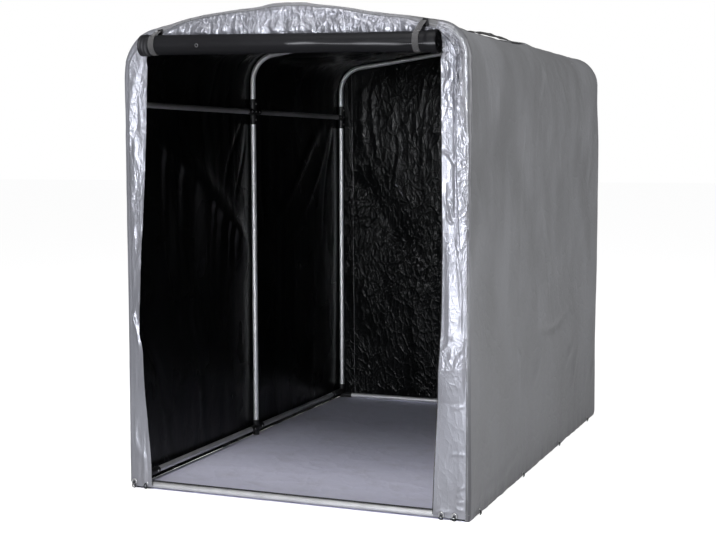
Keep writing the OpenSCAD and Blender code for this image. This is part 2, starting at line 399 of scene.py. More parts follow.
# Coated sheet: what a user would change for the outside and the inside.
silverLook = dict(pale=(0.40, 0.405, 0.45, 1), dull=(0.335, 0.34, 0.378, 1), dust=(0.25, 0.24, 0.24, 1),
                  shade=(0.10, 0.10, 0.115, 1), threadAndGlint=(0.30, 0.30, 0.33, 1), metallic=0.6, rough=0.35,
                  creaseScale=30.0, creaseDepth=0.0020)
# The sides' dust colour is darker than silverLook's: near the ground it paints shade as well as dust.
sideLook = dict(pale=(0.405, 0.413, 0.438, 1), dull=(0.343, 0.349, 0.367, 1), dust=(0.15, 0.148, 0.146, 1),
                shade=(0.10, 0.10, 0.11, 1), threadAndGlint=(0.22, 0.22, 0.23, 1), metallic=0.45, rough=0.38,
                creaseScale=17.0, creaseDepth=0.0024)
# Grey binding along the gable; the same grey also paints a dark line of shade low on the right front corner.
bindingAndShadeLook = dict(pale=(0.20, 0.20, 0.21, 1), dull=(0.17, 0.17, 0.18, 1), dust=(0.2, 0.2, 0.2, 1),
                   shade=(0.08, 0.08, 0.08, 1), threadAndGlint=(0.1, 0.1, 0.1, 1), metallic=0.0, rough=0.6,
                   creaseScale=24.0, creaseDepth=0.001)
rollLiningLook = dict(dark=(0.005, 0.005, 0.006, 1), grey=(0.010, 0.010, 0.012, 1), threadAndGlint=(0.20, 0.20, 0.21, 1),
                      rough=0.50, shine=0.16, creaseScale=9.0, creaseDepth=0.0022)
liningLook = dict(dark=(0.0012, 0.0014, 0.0014, 1), grey=(0.0042, 0.0044, 0.0048, 1), threadAndGlint=(0.22, 0.22, 0.23, 1),
                  rough=0.24, shine=0.16, creaseScale=11.0, creaseDepth=0.0022)
rearLiningLook = dict(liningLook, rough=0.18, shine=0.066, creaseScale=24.0, creaseDepth=0.0032)


def coatedSheet(name, look, outside):
    # Woven tapes under a film: creases where the piece has them, thread along its seams, dust near the ground.
    m, t, s = newMaterial(name, **{"Specular IOR Level": look.get("shine", 0.5), "IOR": 1.5})
    spot = objectSpot(t)
    creases = place(t, crinkleNodes, Vector=spot, Scale=look["creaseScale"], Stretch=(1.0, 1.0, 0.62))
    weave = place(t, weaveNodes, Vector=clothMap(t), Pitch=0.0024)["Height"]
    threads = place(t, stitchNodes, Distance=attribute(t, "seamOff"), Along=attribute(t, "seamAlong"))["Mask"]
    if outside:
        base = mixColour(t, ramp(t, creases["Patches"], [(0.35, 0.0), (0.65, 1.0)]), look["dull"], look["pale"])
        # Darker near the ground: dust, and on the sides, with their darker dust colour, painted shade low on the walls.
        dirt = place(t, dustNodes, Vector=spot, Reach=0.32)["Mask"]
        base = mixColour(t, maths(t, "MULTIPLY", dirt, 0.45), base, look["dust"])
        s["Metallic"].default_value = look["metallic"]
    else:
        base = mixColour(t, creases["Patches"], look["dark"], look["grey"])
    # The shade attribute paints light and shade: outside it darkens towards the shade colour (painted shade), inside it
    # lightens towards the thread colour (painted highlights).
    base = mixColour(t, attribute(t, "shade"), base, look["shade" if outside else "threadAndGlint"])
    rough = maths(t, "MULTIPLY_ADD", creases["Patches"], 0.22, look["rough"] - 0.08)
    film = bump(t, maths(t, "MULTIPLY", creases["Height"], attribute(t, "crinkle")), 1.0, look["creaseDepth"])
    sewn = bump(t, threads, 0.8, 0.0008, bump(t, weave, 0.25, 0.0002, film))
    return painted(m, t, s, mixColour(t, threads, base, look["threadAndGlint"]), rough, sewn)


def tubeMaterial(name, dark, pale):
    # Drawn and galvanised: cloudy zinc, a fine grain and a little dull dust near the ground.
    m, t, s = newMaterial(name, Metallic=0.75)
    spot = objectSpot(t)
    cloud = cloudy(t, spot, 26.0, 5.0)
    zinc = mixColour(t, ramp(t, cloud, [(0.3, 0.0), (0.7, 1.0)]), dark, pale)
    dirt = maths(t, "MULTIPLY", place(t, dustNodes, Vector=spot, Reach=0.10)["Mask"], 0.2)
    return painted(m, t, s, mixColour(t, dirt, zinc, (0.4, 0.39, 0.37, 1)), maths(t, "MULTIPLY_ADD", cloud, 0.25, 0.42),
                   bump(t, cloudy(t, spot, 420.0), 0.15, 0.0003))


def plasticMaterial():
    # Moulded plastic: fine spark-eroded grain, paler scuffs.
    m, t, s = newMaterial("mouldedSocket", **{"Specular IOR Level": 0.4})
    spot = objectSpot(t)
    scuffs = ramp(t, cloudy(t, spot, 40.0, 6.0, 0.7), [(0.58, 0.0), (0.8, 1.0)])
    colour = mixColour(t, scuffs, (0.012, 0.012, 0.013, 1), (0.05, 0.05, 0.052, 1))
    return painted(m, t, s, colour, maths(t, "MULTIPLY_ADD", scuffs, 0.2, 0.42),
                   bump(t, cloudy(t, spot, 900.0), 0.35, 0.0003))


def floorSheetMaterial():
    # Pale coated groundsheet: woven tapes, soft creases and tread marks.
    m, t, s = newMaterial("groundSheet")
    spot = objectSpot(t)
    creases = place(t, crinkleNodes, Vector=spot, Scale=5.0)
    weave = place(t, weaveNodes, Vector=clothMap(t), Pitch=0.003)["Height"]
    marks = cloudy(t, spot, 7.0, 7.0, 0.62)
    base = mixColour(t, creases["Patches"], (0.79, 0.79, 0.97, 1), (0.84, 0.84, 1.0, 1))
    trodden = mixColour(t, ramp(t, marks, [(0.5, 0.0), (0.85, 0.35)]), base, (0.45, 0.44, 0.47, 1))
    return painted(m, t, s, trodden, maths(t, "MULTIPLY_ADD", marks, 0.25, 0.38),
                   bump(t, weave, 0.3, 0.0003, bump(t, creases["Height"], 0.5, 0.003)))


def webbingMaterial(name, dark, pale):
    # Webbing: chevron ribs from the strap's own lengths, thread colour changing from rib to rib.
    m, t, s = newMaterial(name, **{"Specular IOR Level": 0.35, "Sheen Weight": 0.15, "Sheen Roughness": 0.4})
    parts = add(t, "ShaderNodeSeparateXYZ", {0: clothMap(t)}).outputs
    zig = maths(t, "ADD", parts[0], maths(t, "PINGPONG", parts[1], 0.0031))
    ribs = maths(t, "ABSOLUTE", maths(t, "SINE", maths(t, "MULTIPLY", zig, math.pi / 0.0017)))
    fuzz = cloudy(t, objectSpot(t), 700.0)
    return painted(m, t, s, mixColour(t, maths(t, "MULTIPLY", ribs, fuzz), dark, pale),
                   maths(t, "MULTIPLY_ADD", fuzz, 0.2, 0.6), bump(t, ribs, 0.7, 0.0006))


def plainDetail(name, dark, pale, metallic, rough, scale):
    # Metal, cord or tape with one fine grain in its colour, gloss and surface.
    m, t, s = newMaterial(name, Metallic=metallic)
    fine = cloudy(t, objectSpot(t), scale, 4.0)
    return painted(m, t, s, mixColour(t, fine, dark, pale), maths(t, "MULTIPLY_ADD", fine, 0.25, rough),
                   bump(t, fine, 0.3, 0.0004))


silver = coatedSheet("silverSheet", silverLook, True)
lining = coatedSheet("blackLining", liningLook, False)
bindingAndShade = coatedSheet("greyBindingAndShade", bindingAndShadeLook, True)
sideSilver = coatedSheet("sideSheet", sideLook, True)
rollLining = coatedSheet("rolledLining", rollLiningLook, False)
rearLining = coatedSheet("rearLining", rearLiningLook, False)
tubeSteel = tubeMaterial("galvanisedTube", (0.86, 0.87, 0.89, 1), (0.95, 0.96, 0.97, 1))
# Darker copies of the galvanised finish, painted shade: one for the side rails, one for the sill and base rails.
shadedRailSteel = tubeMaterial("shadedRailTube", (0.44, 0.44, 0.45, 1), (0.52, 0.52, 0.53, 1))
shadedLowSteel = tubeMaterial("shadedLowTube", (0.60, 0.60, 0.62, 1), (0.68, 0.68, 0.70, 1))
socketPlastic, groundCloth = plasticMaterial(), floorSheetMaterial()
greyWebbing = webbingMaterial("greyWebbing", (0.040, 0.039, 0.040, 1), (0.155, 0.152, 0.154, 1))
blackWebbing = webbingMaterial("blackWebbing", (0.006, 0.006, 0.007, 1), (0.028, 0.028, 0.03, 1))
platedMetal = plainDetail("platedMetal", (0.6, 0.6, 0.61, 1), (0.85, 0.85, 0.86, 1), 1.0, 0.16, 160.0)
dullMetal = plainDetail("dullMetal", (0.10, 0.10, 0.105, 1), (0.20, 0.20, 0.205, 1), 1.0, 0.34, 160.0)
elasticCord = plainDetail("elasticCord", (0.004, 0.004, 0.005, 1), (0.03, 0.03, 0.033, 1), 0.0, 0.6, 900.0)
zipTape = plainDetail("zipTape", (0.006, 0.006, 0.007, 1), (0.02, 0.02, 0.022, 1), 0.0, 0.55, 500.0)

# Side rails, sill and base rails take the darker tube copies: painted shade where these tubes lie in shade.
finishes = {("_joint", "_foot"): socketPlastic, ("_sill", "_base_rails"): shadedLowSteel, ("_side_rails",): shadedRailSteel}
for name, part in nodes.items():
    finish = next((f for ends, f in finishes.items() if name.endswith(ends)), tubeSteel)
    part.data.materials.clear()
    part.data.materials.append(finish)
print("materials made")


def roofline(steps):
    # Half of the cover's outline from the ridge down to the right hem: a short ridge arc, the slope,
    # the eave arc and the wall, as x, z, the outward normal and the length from the ridge.
    r, p, top = eaveRadius, pitch, shell["ridgeRadius"]
    apex = ridgeZ - top / math.cos(p)
    a, t = openSpan(0, p, steps["ridge"]), openSpan(0, 1, steps["slope"])
    e = openSpan(math.pi / 2 - p, 0, steps["eave"])
    w = np.linspace(eaveZ, min(hemZ, 0.0012), steps["wall"])
    x0, z0 = top * math.sin(p), apex + top * math.cos(p)
    x1, z1 = eaveX + r * math.sin(p), eaveZ + r * math.cos(p)
    x = np.concatenate([top * np.sin(a), x0 + (x1 - x0) * t, eaveX + r * np.cos(e), np.full_like(w, halfWidth)])
    z = np.concatenate([apex + top * np.cos(a), z0 + (z1 - z0) * t, eaveZ + r * np.sin(e), w])
    nx = np.concatenate([np.sin(a), np.full_like(t, math.sin(p)), np.cos(e), np.ones_like(w)])
    nz = np.concatenate([np.cos(a), np.full_like(t, math.cos(p)), np.sin(e), np.zeros_like(w)])
    return x, z, nx, nz, runLength(np.stack([x, z], -1))


def roofHeight(x, inset=0.0):
    # Top of the cover over x: the slope, or the eave's arc beyond it.
    r = eaveRadius - inset
    start = eaveX + r * math.sin(pitch)
    slope = eaveZ + r * math.cos(pitch) + (start - np.abs(x)) * math.tan(pitch)
    arc = eaveZ + np.sqrt(np.maximum(r ** 2 - np.maximum(np.abs(x) - eaveX, 0) ** 2, 0))
    return np.where(np.abs(x) < start, slope, arc)


coverLook = dict(steps=dict(ridge=3, slope=30, eave=26, wall=150), depthSteps=212, cornerSteps=6,
                 frontBand=20, rearBand=3,
                 edge=0.003, band=0.0055, rightBand=0.038, bandPuff=0.0115, gableCorner=0.006, tightCorner=0.0105,
                 sag=0.012, roofSag=0.009, eaveSag=(0.018, 0.008), eaveDip=0.004, splay=0.005,
                 drape=0.0028, thin=0.0022, fine=0.0010, streak=0.0018, ripple=0.002, roofCrush=0.0025,
                 eaveCrush=0.011, tuck=0.003, leftStand=0.013, browStand=(0.021, 0.011, 0.005), rearStand=0.009,
                 lowShade=0.42, eaveShade=0.55, paintedCreaseGlint=0.32, hemSeam=0.022)
# Folds on the walls, in y and z and in millimetres; the left ones show inside.
leftFolds = [
    (-930, 1500, -10, 950, 60, -20), (-860, 1400, -200, 980, 20, -5), (-840, 1440, -770, 720, 16, 6),
    (-730, 1340, -670, 750, 13, 5), (-630, 1280, -570, 700, 15, 6), (-500, 1160, -420, 680, 14, 5),
    (-110, 1560, -310, 1240, 16, 6), (-60, 1520, -170, 1200, 12, 5), (-364, 1870, -450, 1580, 8, 4),
    (-42, 1860, -36, 1660, 9, 5), (940, 1580, 340, 1160, 30, -12), (970, 1500, 520, 1020, 18, -7),
    (1030, 1550, 900, 1050, 14, 6), (100, 1550, 160, 1050, 15, 5), (-980, 620, -800, 100, 30, 8),
    (-620, 620, -500, 160, 25, 6)
]
rightFolds = [
    (-334, 1510, -343, 1433, 12, 3), (-348, 1424, -363, 1355, 12, 5), (-366, 1347, -349, 1290, 12, 5),
    (-439, 1143, -493, 1069, 13, 4), (-19, 1780, -108, 1600, 18, 5), (-50, 1800, 116, 1660, 18, 5),
    (275, 1773, 448, 1638, 16, 5), (660, 1760, 807, 1600, 16, 5), (-769, 1680, -766, 1550, 16, 4),
    (-413, 570, -387, 518, 13, 5), (-387, 514, -390, 347, 12, 4), (465, 373, 639, 450, 18, 5),
    (603, 250, 732, 411, 18, 6), (862, 208, 975, 377, 18, 6), (1000, 183, 1080, 305, 16, 5),
    (-482, 109, -1003, 86, 16, 4), (496, 629, -64, 591, 16, -4), (-61, 498, -184, 379, 20, 5),
    (-1060, 1336, -996, 1180, 16, 3), (300, 1220, 148, 1013, 16, 3), (9, 1113, 154, 871, 16, 3),
    (966, 1383, 877, 1229, 18, 4), (300, 1600, 360, 1250, 14, 3), (1020, 1600, 900, 1250, 18, 4)
]


def bulge(x, y, z):
    # How far the cover stands off its outline: along the front left edge, over the gable and at the rear right.
    look = coverLook
    front = fade(-1.05, -0.45, y)
    left = (x < -0.5) * look["leftStand"] * smooth(0.0, 0.012, z - hemZ) * fade(1.72, 1.88, z) * front
    a, b, c = look["browStand"]
    brow = (z > 1.80) * (a * hump(x, -0.36, 0.25) + b * hump(x, 0.20, 0.10) + c * hump(np.abs(x), 0.075, 0.045)) * front
    right = (x > 0) * look["rearStand"] * smooth(0.3, 0.9, z) * fade(1.45, 1.70, z) * smooth(0.6, 1.1, y)
    return left + brow + right


def tighter(x, z):
    # How much smaller the front corner's radius is down the right wall.
    return coverLook["tightCorner"] * (x > 0.5) * fade(1.40, 1.70, z)


def endInset(x, gap):
    # How far inside the cover's outline an end panel's edge lies: a gap past the corner's turn.
    gable, wall = coverLook["gableCorner"] + gap, shell["corner"] + gap
    return gable + (wall - gable) * smooth(0.46, 0.60, np.abs(x))


def coverSheet():
    # The outline carried along the depth; at both ends it turns over a corner radius into the end's plane as a band.
    # A point is outline - inset x normal at its y, then moved along the surface normal by sag, drape folds and puffs.
    # The outline's values are columns, the depth's are rows.
    look = coverLook
    half = roofline(look["steps"])
    x, z, nx, nz, run = (np.concatenate([s * v[:0:-1], v])[:, None] for v, s in zip(half, (-1, 1, -1, 1, -1)))
    eaveBit = smooth(0.50, 0.68, np.abs(x)) * smooth(1.45, 1.75, z)
    rc = look["gableCorner"] + (shell["corner"] - look["gableCorner"]) * smooth(0.46, 0.62, np.abs(x))
    right = smooth(0.56, 0.70, x) * smooth(0.55, 1.45, z)
    gable = (look["band"] - look["edge"]) * smooth(1.80, 1.92, z) * fade(0.56, 0.70, x)
    band = look["edge"] + gable + (look["rightBand"] + tighter(x, z) - look["edge"]) * right
    frontT, rearT = openSpan(1, 0, look["frontBand"]), openSpan(1, 0, look["rearBand"])[::-1]
    arc, flat = openSpan(math.pi / 2, 0, look["cornerSteps"]), np.linspace(-1, 1, look["depthSteps"])
    turn = np.concatenate([0 * frontT + math.pi / 2, arc, 0 * flat, arc[::-1], 0 * rearT + math.pi / 2])
    share = np.concatenate([frontT, np.zeros(len(arc) * 2 + len(flat)), rearT])
    level = np.concatenate([0 * frontT - 1, 0 * arc - 1, flat, 0 * arc + 1, 0 * rearT + 1])
    way, ahead = np.sign(level + 1e-9), level < 0
    rc = rc - tighter(x, z) * (way < 0)
    py = level * (halfDepth - rc) + way * rc * np.sin(turn)
    inset = rc * (1 - np.cos(turn)) + band * share - bulge(x, py, z)
    px, pz = x + 0 * py, z + 0 * py
    grid = np.stack([px - nx * inset, py, pz - nz * inset], -1)
    normal = np.stack([nx * np.cos(turn), np.sin(turn) * way + 0 * py, nz * np.cos(turn)], -1)

    bay = np.abs(np.sin(np.pi * (py - hoopY[0]) / (hoopY[1] - hoopY[0]))) * (np.abs(py) < hoopY[2])
    wall = fade(eaveZ - 0.02, eaveZ + 0.10, pz)
    roof = 1 - wall
    free = smooth(0.06, 0.5, pz) * fade(railZ - 0.25, railZ - 0.02, pz) + 0.35 * smooth(railZ + 0.02, railZ + 0.1, pz)
    side = np.where(px < 0, 3.0, 8.0)
    # Walls: sag between the hoops, hanging folds, thin folds, a crushed surface and streaks on the right.
    bend = py + 0.05 * noise(pz * 1.6, py * 2.5, 6)
    hang = noise(bend * 7, pz * 0.8 + side, 2) + 0.45 * noise(bend * 19, pz * 1.3 + side, 4)
    thin = hump(noise(bend * 10, pz * 0.9 + side, 7), 0, 0.10) * smooth(0.5, 1.5, pz) * noise(py * 3, pz * 2, 8)
    streak = 0.6 * noise((bend + 0.10 * noise(py * 1.5, pz * 1.5, 11)) * 30, pz * 1.1, 9)
    streak = (px > 0) * (streak + 0.4 * noise((py + 0.35 * pz * np.sign(py)) * 22, pz * 2.2, 10))
    drape = np.where(px > 0, 0.4, 1.0) * (look["drape"] * hang * (0.35 + 0.65 * bay) + look["thin"] * thin)
    move = -look["sag"] * bay * free + drape + look["fine"] * crumple(py * 9 + side, pz * 5, 21)
    move = move + look["streak"] * (1.5 - 0.5 * smooth(0.3, 1.0, pz)) * streak
    move = wall * (move + look["splay"] * fade(0.0, 1.0, pz) * smooth(0.0, 0.012, pz - hemZ))
    move = move + (px < 0) * foldSum(py, pz, leftFolds, 1.0, 0.45)
    move = move + 1.1 * (px > 0) * foldSum(py, pz, rightFolds, 1.35, 0.45)
    # Roof: sag between hoops and ridge, ripples, and eaves that dip between the hoops.
    slope = np.clip(np.abs(px) / 0.62, 0, 1)
    ripple = noise(px * 5, py * 7, 31) + 0.6 * noise(px * 3 + py * 4, py * 14, 33)
    crush = look["roofCrush"] * crumple(px * 10, py * 8, 35)
    move = move + roof * (-look["roofSag"] * bay * np.sin(np.pi * slope) + look["ripple"] * ripple + crush)
    eaves = smooth(0.42, 0.64, np.abs(px)) * smooth(1.70, 1.84, pz)
    move = move - eaves * bay ** 0.35 * np.where(py < hoopY[1], *look["eaveSag"])
    front = fade(0.02, 0.5, py + halfDepth)
    move = move - look["eaveDip"] * eaves * front * (px > 0)
    # Near the hoops and rails the sheet stays outside the frame.
    hoopGap = np.min(np.abs(py[..., None] - np.array(hoopY)), -1)
    railGap = np.where(wall > 0.5, np.minimum(np.abs(pz - railZ), np.abs(pz - baseZ)), 1.0)
    clear = smooth(0.018, 0.12, hoopGap) * smooth(0.018, 0.10, railGap) * smooth(0.0, 0.15, np.abs(px))
    move = np.maximum(move, -np.where(wall > 0.5, 0.0013, 0.0042) - 0.03 * clear)
    # The band at the front is a soft pleat, crushed where it goes round the right eave.
    pleat = look["bandPuff"] * np.minimum(share / 0.78, 1) * fade(0.78, 0.97, share) * right * ahead
    curl = right * eaveBit * ahead * smooth(0.05, 0.3, share)
    pleat = pleat + curl * fade(0.9, 1.0, share) * look["eaveCrush"] * (0.5 + crumple(share * 3.6, run * 26, 45))
    tuck = right * ahead * look["tuck"] * crumple(share * 1.4, run * 11, 46) * np.sin(np.pi * share)
    grid = grid + normal * (move * np.cos(turn) ** 2 + 0.0004 + (pleat + tuck) * np.sin(turn) ** 2)[..., None]

    seamFront = np.where(share > 0.01, band * (1 - share) - band + 0.005, 1.0)
    hemSeam = np.where(wall > 0.5, pz - hemZ - look["hemSeam"], 1.0)
    near = np.abs(seamFront) < np.abs(hemSeam)
    off, along = np.where(near, seamFront, hemSeam), np.where(near, run + 0 * py, py)
    amount = 0.16 + (0.16 + 0.22 * smooth(-0.3, 0.5, py)) * (px > 0.5) * wall + 0.15 * roof + 0.6 * curl
    amount = amount + 0.25 * front * roof + 0.5 * right * ahead * (share > 0.001)
    # Kinds of face: 0 silver, 2 grey binding along the gable, 3 the sides' duller silver. Front corners: silver all
    # round on the left; on the right a broken pale line above, a painted shade line below in the binding's grey and a
    # dull turn to the side.
    gableRows, rows, corner = (np.abs(x) < 0.60) & (z > 1.8), x > 0.5, ahead & (share == 0) & (turn > 0.05)
    outer = np.where((share > 0.001) & gableRows & ahead, 2, np.where(turn + 0 * py < 1.15, 3, 0))
    outer[(x < -0.5) & corner] = 0
    broken = (noise(run * 16, 0 * run, 48) > 0.05) & (z > 0.95)
    outer[rows & corner & (turn > 1.2)] = 3
    outer[rows & broken & corner & (turn > 1.2) & (turn < 1.5)] = 0
    outer[rows & (z < 1.25) & corner & (turn > 1.5)] = 2
    outer[gableRows & corner] = 2
    # Painted shade: darker low on the right wall, on its front turn and in the crushed eave. Painted highlights:
    # paler streaks on the left lining under its long fold, where its creases catch the light.
    crushed = np.clip(1.6 * noise(share * 3.4 + 0.15 * noise(run * 30, 0 * run, 49), run * 30, 47), 0, 1)
    upTurn = (0.45 + 0.20 * smooth(0.75, 1.20, z)) * (corner & (turn < 1.4 + 0.3 * noise(run * 22, 0 * run, 44)))
    lowTurn = 0.85 * fade(1.05, 1.25, z) * (corner & (turn > 1.4))
    shade = rows * ahead * (upTurn + lowTurn + look["eaveShade"] * crushed * eaveBit * (share > 0.12))
    # Painted highlights: paler streaks on the left lining below its long fold, where its creases catch the light.
    below = 1.50 - 0.598 * (py + 0.93) - pz
    paintedCreaseGlint = (px < -0.5) * (np.abs(py + 0.47) < 0.46) * smooth(-0.01, 0.02, below)
    paintedCreaseGlint = paintedCreaseGlint * np.exp(-np.maximum(below, 0) / 0.16)
    shade = shade + look["lowShade"] * rows * fade(0.05, 1.0, z)
    shade = shade + look["paintedCreaseGlint"] * paintedCreaseGlint * np.clip(noise(bend * 38, pz * 3, 12) + 0.2, 0, 1)
    values = dict(crinkle=amount, shade=shade, seamOff=off, seamAlong=along)
    return grid, values, np.stack([run + 0 * py, py], -1), outer[:-1, :-1], (x[:, 0], run[:, 0], py)


coverGrid, values, uv, outerKind, coverLines = coverSheet()
coverNormals = gridNormals(coverGrid)


def coverPart(name, first, last, node):
    piece = sheetPiece(name, coverGrid[first:last], shell["thick"], [silver, lining, bindingAndShade, sideSilver],
                       {k: v[first:last] for k, v in values.items()}, uv[first:last],
                       marked=outerKind[first:last - 1], normals=coverNormals[first:last])
    return finishedAs(piece, "silver_cover", node)


wallRows, allRows = coverLook["steps"]["wall"], len(coverGrid)
leftCover = coverPart("leftCover", 0, wallRows, "left_wall")
cover = coverPart("roofCover", wallRows - 1, allRows - wallRows + 1, "roof_cover")
rightCover = coverPart("rightCover", allRows - wallRows, allRows, "right_wall")
print("cover sheet", coverGrid.shape)


def onCover(runs, y, lift):
    # The point of the cover at a length from the ridge and a y, moved out along the surface normal by lift.
    _, run, py = coverLines
    i = np.clip(np.interp(runs, run, np.arange(len(run))), 0, len(run) - 1.001)
    j = np.clip(np.interp(y, py[len(run) // 2], np.arange(py.shape[1])), 0, py.shape[1] - 1.001)
    i0, j0 = i.astype(int), j.astype(int)
    fi, fj = (i - i0)[..., None], (j - j0)[..., None]

    def blend(g):
        low, high = (g[i0, j0 + k] * (1 - fi) + g[i0 + 1, j0 + k] * fi for k in (0, 1))
        return low * (1 - fj) + high * fj

    return blend(coverGrid) + unit(blend(coverNormals)) * lift[..., None]


rollLook = dict(radius=0.0410, core=0.009, turns=10, innerSteps=212, outerTurns=1.15, outerSteps=66,
                along=140, thick=0.0007,
                left=-0.577, right=0.557, y=-1.1952, ends=(-0.636, 0.636), heights=(1.8632, 1.8372), hemPitch=0.013)


def rollAxis(x):
    # Height of the roll's centre at x: the two ends' heights joined by a line.
    (x0, x1), (z0, z1) = rollLook["ends"], rollLook["heights"]
    return z0 + (z1 - z0) * (x - x0) / (x1 - x0)


def rollSqueeze(angle, x):
    # How far the roll is out of round at an angle and an x: lumps, thick wound hems at the ends, a slimmer
    # middle and a pinch under each strap.
    c, s = np.cos(angle), np.sin(angle)
    lumps = 0.020 * noise(1.6 * c + x * 2.3, 1.6 * s + x * 1.9, 101) + 0.010 * noise(4.0 * c + x * 6, 4.0 * s, 102)
    rib = np.cos((np.abs(x) - 0.6) * 2 * np.pi / rollLook["hemPitch"])
    ends = smooth(0.590, 0.606, np.abs(x)) * (0.10 + 0.025 * rib)
    pinch = 0.035 * (hump(x, rollLook["left"], 0.020) + hump(x, rollLook["right"], 0.020))
    return 1 + lumps + ends - 0.05 * hump(x, 0.18, 0.28) - pinch


def doorRoll():
    # A spiral: radius grows from the core with the angle, the same lumps on every turn so that turns stay apart.
    look = rollLook
    outer = 1 - look["outerTurns"] / look["turns"]                  # the turn that shows has closer points
    k = np.concatenate([openSpan(0, outer, look["innerSteps"]), np.linspace(outer, 1, look["outerSteps"])])
    angle = 2 * np.pi * look["turns"] * k + 0.9
    t = np.linspace(-1, 1, look["along"])
    t = np.sign(t) * np.abs(t) ** 0.75                              # closer points at the ends
    wander = 0.004 * noise(k * 24, 0 * k, 103) - 0.010 * hump(k, 0.55, 0.2)
    x0, x1 = look["ends"]
    px = (x0 + x1) / 2 + t * ((x1 - x0) / 2 + wander[:, None])
    angles = angle[:, None] + 0 * px
    radii = (look["core"] + (look["radius"] - look["core"]) * k[:, None]) * rollSqueeze(angles, px)
    grid = np.stack([px, look["y"] + radii * np.cos(angles), rollAxis(px) + radii * np.sin(angles)], -1)
    length = runLength(radii[:, :1] * np.stack([np.cos(angle), np.sin(angle)], -1))
    hem = angle[-1] - 2 * np.pi + 2.32 + 0.22 * smooth(-0.1, 0.5, px) + 0.05 * noise(px * 8, 0 * px, 104)
    off = np.where(px > 0.02, (angles - hem) * look["radius"], 1.0)
    # Painted highlights: a pale line along the hem's edge where it catches the light, and pale rings on the wound hems
    # at the left end.
    paintedHemGlint = hump(off, 0, 0.0035) * np.clip(0.15 + noise(px * 11, 0 * px, 105), 0, 1)
    rings = 0.35 * (px < -0.592) * hump((np.abs(px) - 0.600) % look["hemPitch"], 0.004, 0.0016)
    values = dict(crinkle=0.10 + 0 * px, shade=np.maximum(paintedHemGlint, rings), seamOff=off, seamAlong=px)
    return grid, values, np.stack([length[:, None] + 0 * px, px], -1), float(length[-1])


grid, values, uv, doorLength = doorRoll()
roll = sheetPiece("doorRoll", grid, rollLook["thick"], [rollLining, rollLining], values, uv, outside=-1)
finishedAs(roll, "black_lining", "door_roll")
print("door roll, sheet length", round(doorLength, 3))

# The doorway's edges are given as (z, x) down each flap.
frontLook = dict(legSteps=400, eaveSteps=44, headSteps=380, across=33,
                 gap=0.004, behind=0.0013, over=0.0024, leftOut=0.0035,
                 head=1.846, seam=0.016, lean=0.012, bag=0.021, sway=0.006,
                 leftIn=[(0.006, -0.653), (0.106, -0.653), (0.32, -0.667), (0.50, -0.680), (0.60, -0.682),
                         (0.66, -0.696), (0.73, -0.697), (0.808, -0.690), (1.229, -0.665),
                         (1.56, -0.647), (1.7766, -0.638)],
                 rightIn=[(0.036, 0.603), (0.195, 0.609), (0.432, 0.620), (0.53, 0.626), (0.627, 0.632),
                          (0.821, 0.637), (1.013, 0.640), (1.242, 0.643), (1.544, 0.641),
                          (1.70, 0.640), (1.769, 0.637)])
# Sharp folds on the flaps, in x and z and in millimetres.
rightCreases = [
    (686, 1120, 714, 720, 4, -2.2), (652, 1761, 655, 1724, 4, -2.9), (659, 1765, 663, 1700, 6, 4.3),
    (664, 1722, 643, 1670, 5, 3.6), (660, 1700, 648, 1655, 4, -2.9), (649, 1593, 677, 1585, 5, 3),
    (648, 1424, 681, 1412, 5, -3.6), (666, 1409, 685, 1382, 5, -3.6), (655, 1300, 658, 1220, 6, 2.6),
    (658, 1235, 661, 1170, 6, 3), (661, 1185, 677, 1151, 6, 4.3), (668, 1246, 690, 1216, 5, 3.6),
    (680, 1220, 686, 1182, 5, 3.6), (672, 1215, 676, 1165, 6, -4.3), (690, 690, 678, 610, 26, 5.5),
    (678, 717, 732, 687, 7, 2.8), (732, 687, 704, 658, 7, 2.8), (644, 659, 666, 695, 7, 2.8),
    (666, 695, 678, 717, 7, 2.8), (716, 659, 700, 604, 9, -3.6), (688, 670, 682, 600, 10, 3.9),
    (656, 594, 694, 594, 7, 2.8), (704, 608, 732, 621, 6, 2.4), (677, 444, 741, 452, 7, 1.4),
    (677, 258, 738, 265, 7, 1.4), (702, 97, 722, 107, 6, 1.5), (702, 74, 747, 80, 6, 1.5), (698, 50, 727, 45, 7, 1.7),
    (734, 144, 706, 117, 7, 1.7), (605, 25, 674, 39, 8, 1.4)
]
leftCreases = [
    (-738, 755, -692, 600, 10, 7.8), (-712, 1780, -735, 1450, 18, 4.2), (-696, 1450, -712, 1250, 15, 3.2),
    (-668, 1720, -690, 1500, 8, 1.6), (-728, 1437, -710, 1374, 6, -1.8), (-737, 1228, -688, 1233, 6, 2.4),
    (-708, 1207, -726, 1060, 12, 1.3), (-688, 1620, -700, 1520, 6, -2.4), (-745, 310, -704, 130, 19, 5.6),
    (-690, 150, -684, 30, 10, 2.4)
]


